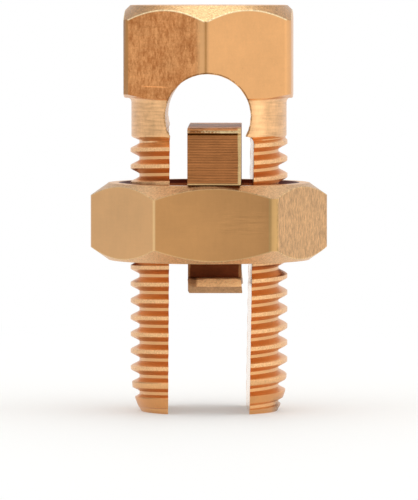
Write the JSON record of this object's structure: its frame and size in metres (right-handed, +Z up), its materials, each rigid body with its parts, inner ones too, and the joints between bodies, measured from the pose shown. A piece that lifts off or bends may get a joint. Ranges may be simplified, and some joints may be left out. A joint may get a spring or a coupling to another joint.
{
  "type": "split bolt connector",
  "caption": "Split bolt wire connector: slotted bolt with a wire seat under its hexagonal head, hex nut and captive pressure bar.",
  "frame": {"origin": "on the bolt's axis at the leg ends, centre of the bottom of the box", "axes": "+Z up along the bolt's axis towards the head, +Y along the wire seat and the slot, +X across the slot"},
  "size_m": [0.0182, 0.0162, 0.031],
  "materials": {
    "bolt_bronze": "turned and brushed, copper coloured",
    "nut_bronze": "drawn hexagon, faintly grained",
    "bar_bronze": "milled, dull and darker"
  },
  "bodies": {
    "bolt": {"split_bolt": "bolt_bronze"},
    "bar": {"pressure_bar": "bar_bronze"},
    "nut": {"hex_nut": "nut_bronze"}
  },
  "joints": [
    {"name": "bar_travel", "type": "slide", "parent": "bolt", "child": "bar", "axis": [0, 0, 1], "range_m": [-0.0091, 0.002]},
    {"name": "nut_turn", "type": "hinge", "parent": "bar", "child": "nut", "pos_m": [0, 0, 0], "axis": [0, 0, 1], "range_deg": [-2520, 540]}
  ],
  "couplings": [
    {"joint": "bar_travel", "follows": "nut_turn", "m_per_rad": 0.00020372}
  ]
}
